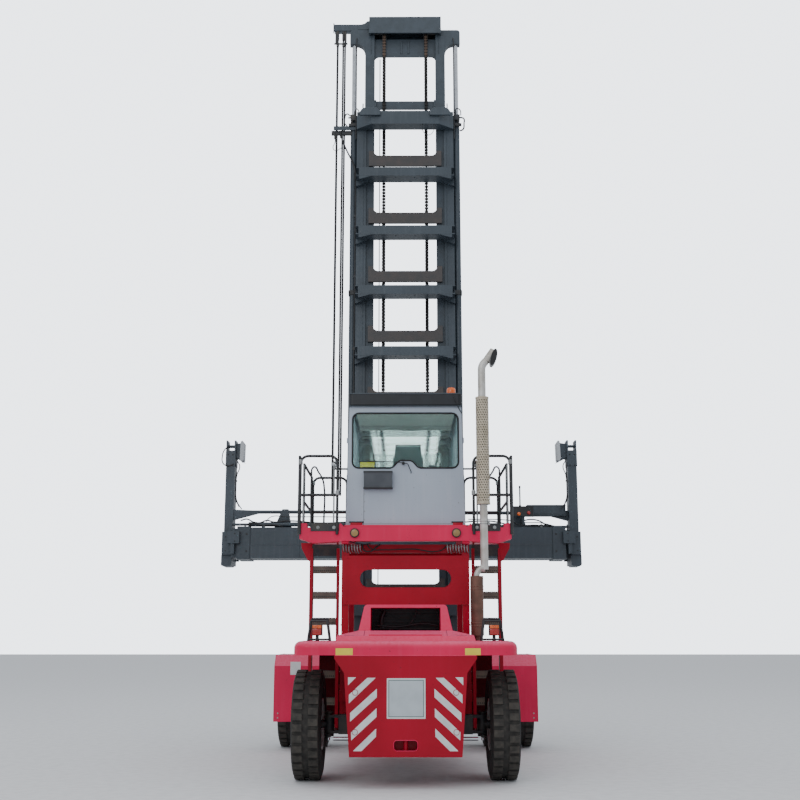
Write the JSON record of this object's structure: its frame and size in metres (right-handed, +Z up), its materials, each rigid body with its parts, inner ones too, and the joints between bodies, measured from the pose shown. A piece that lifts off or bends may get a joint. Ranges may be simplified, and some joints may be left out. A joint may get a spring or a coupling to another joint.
{
  "type": "empty container handler",
  "caption": "Mast-type empty container handler: twin-wheel front axle, rear steering, raised cab, two-stage mast and telescopic side-lift spreader.",
  "frame": {"origin": "on the floor, at the middle of the whole box in plan, on the truck's centre plane", "axes": "+Y forward to the mast and spreader, +X to the driver's right, +Z up"},
  "size_m": [6.744, 7.7, 13.7198],
  "materials": {
    "red_paint": "semi-gloss enamel",
    "slate_paint": "satin enamel",
    "cab_paint": "satin enamel",
    "black_paint": "satin powder coat",
    "axle_paint": "matt enamel",
    "rim_paint": "satin enamel",
    "tyre_rubber": "matt tread rubber",
    "rod_chrome": "hard chrome",
    "pipe_steel": "bright steel tube",
    "shield_steel": "heat-stained perforated plate",
    "cast_engine": "cast iron block",
    "chain_steel": "oiled chain steel",
    "hose_rubber": "matt hydraulic hose",
    "cab_glazing": "tinted cab glass",
    "seat_fabric": "woven upholstery",
    "grey_plastic": "textured plastic",
    "lamp_plastic": "moulded lens"
  },
  "bodies": {
    "chassis": {"chassis_frame": "red_paint", "counterweight": "red_paint", "tow_pin": "red_paint", "rear_deck": "red_paint", "engine_hood": "red_paint", "hood_grille": "black_paint", "engine_block": "cast_engine", "drive_axle": "axle_paint", "steer_axle": "axle_paint", "prop_shaft": "axle_paint", "front_fenders": "red_paint", "side_tanks": "red_paint", "ladders": "red_paint", "cab_support": "red_paint", "cab_platform": "red_paint", "handrails": "black_paint", "cab_shell": "cab_paint", "cab_roof": "black_paint", "cab_glass": "cab_glazing", "seat": "seat_fabric", "steering_column": "grey_plastic", "cab_rear_box": "grey_plastic", "cab_mirrors": "black_paint", "exhaust_pipe": "pipe_steel", "exhaust_shield": "shield_steel", "lamps": "lamp_plastic"},
    "door_l": {"cab_door_l": "cab_paint", "door_glass_l": "cab_glazing"},
    "door_r": {"cab_door_r": "cab_paint", "door_glass_r": "cab_glazing"},
    "drive_wheels_l": {"drive_tyres_l": "tyre_rubber", "drive_rims_l": "rim_paint"},
    "drive_wheels_r": {"drive_tyres_r": "tyre_rubber", "drive_rims_r": "rim_paint"},
    "steer_knuckle_l": {"knuckle_l": "axle_paint"},
    "steer_knuckle_r": {"knuckle_r": "axle_paint"},
    "steer_wheel_l": {"steer_tyre_l": "tyre_rubber", "steer_rim_l": "rim_paint"},
    "steer_wheel_r": {"steer_tyre_r": "tyre_rubber", "steer_rim_r": "rim_paint"},
    "steering_rod": {"steer_rod": "rod_chrome"},
    "mast": {"outer_mast": "slate_paint", "lift_barrels": "slate_paint"},
    "tilt_cylinders": {"tilt_barrels": "slate_paint"},
    "tilt_pistons": {"tilt_rods": "rod_chrome"},
    "raised_mast": {"inner_mast": "slate_paint", "lift_rods": "rod_chrome", "mast_sheaves": "axle_paint", "lift_chains": "chain_steel", "mast_hoses": "hose_rubber"},
    "lift_carriage": {"carriage": "slate_paint"},
    "spreader": {"spreader_beam": "slate_paint", "spreader_barrels": "slate_paint"},
    "left_arm": {"arm_l": "slate_paint"},
    "right_arm": {"arm_r": "slate_paint"}
  },
  "joints": [
    {"name": "drive_spin_l", "type": "hinge", "parent": "chassis", "child": "drive_wheels_l", "pos_m": [-1.69, 1.65, 0.6825], "axis": [1, 0, 0], "continuous": true},
    {"name": "drive_spin_r", "type": "hinge", "parent": "chassis", "child": "drive_wheels_r", "pos_m": [1.69, 1.65, 0.6825], "axis": [1, 0, 0], "continuous": true},
    {"name": "steer_r", "type": "hinge", "parent": "chassis", "child": "steer_knuckle_r", "pos_m": [0.985, -2.85, 0.6825], "axis": [0, 0, 1], "range_deg": [-60, 60]},
    {"name": "steer_l", "type": "hinge", "parent": "chassis", "child": "steer_knuckle_l", "pos_m": [-0.985, -2.85, 0.6825], "axis": [0, 0, 1], "range_deg": [-60, 60]},
    {"name": "steer_spin_r", "type": "hinge", "parent": "steer_knuckle_r", "child": "steer_wheel_r", "pos_m": [1.245, -2.85, 0.6825], "axis": [1, 0, 0], "continuous": true},
    {"name": "steer_spin_l", "type": "hinge", "parent": "steer_knuckle_l", "child": "steer_wheel_l", "pos_m": [-1.245, -2.85, 0.6825], "axis": [1, 0, 0], "continuous": true},
    {"name": "steer_rod_slide", "type": "slide", "parent": "chassis", "child": "steering_rod", "axis": [1, 0, 0], "range_m": [-0.11268, 0.11268]},
    {"name": "mast_tilt", "type": "hinge", "parent": "chassis", "child": "mast", "pos_m": [0, 1.99, 0.62], "axis": [1, 0, 0], "range_deg": [-5, 5]},
    {"name": "tilt_swing", "type": "hinge", "parent": "chassis", "child": "tilt_cylinders", "pos_m": [0, 0.48, 1.25], "axis": [1, 0, 0], "range_deg": [-3, 3]},
    {"name": "tilt_extend", "type": "slide", "parent": "tilt_cylinders", "child": "tilt_pistons", "axis": [0, 0.8192, 0.5735], "range_m": [-0.13, 0.13]},
    {"name": "inner_lift", "type": "slide", "parent": "mast", "child": "raised_mast", "axis": [0, 0, 1], "range_m": [-1.25, 7.6]},
    {"name": "carriage_lift", "type": "slide", "parent": "raised_mast", "child": "lift_carriage", "axis": [0, 0, 1], "range_m": [-1.25, 7.6]},
    {"name": "side_shift", "type": "slide", "parent": "lift_carriage", "child": "spreader", "axis": [1, 0, 0], "range_m": [-0.52, 0.68]},
    {"name": "arm_extend_l", "type": "slide", "parent": "spreader", "child": "left_arm", "axis": [-1, 0, 0], "range_m": [0, 3.05]},
    {"name": "arm_extend_r", "type": "slide", "parent": "spreader", "child": "right_arm", "axis": [1, 0, 0], "range_m": [0, 3.05]},
    {"name": "door_swing_l", "type": "hinge", "parent": "chassis", "child": "door_l", "pos_m": [-0.875, -1.15, 4.2], "axis": [0, 0, 1], "range_deg": [0, 90]},
    {"name": "door_swing_r", "type": "hinge", "parent": "chassis", "child": "door_r", "pos_m": [0.875, -1.15, 4.2], "axis": [0, 0, -1], "range_deg": [0, 90]}
  ],
  "couplings": [
    {"joint": "steer_l", "follows": "steer_r", "ratio": 1},
    {"joint": "steer_rod_slide", "follows": "steer_r", "m_per_rad": 0.10751},
    {"joint": "tilt_swing", "follows": "mast_tilt", "ratio": 0.52181},
    {"joint": "tilt_extend", "follows": "mast_tilt", "m_per_rad": -1.3816},
    {"joint": "carriage_lift", "follows": "inner_lift", "ratio": 1},
    {"joint": "arm_extend_r", "follows": "arm_extend_l", "ratio": 1}
  ]
}
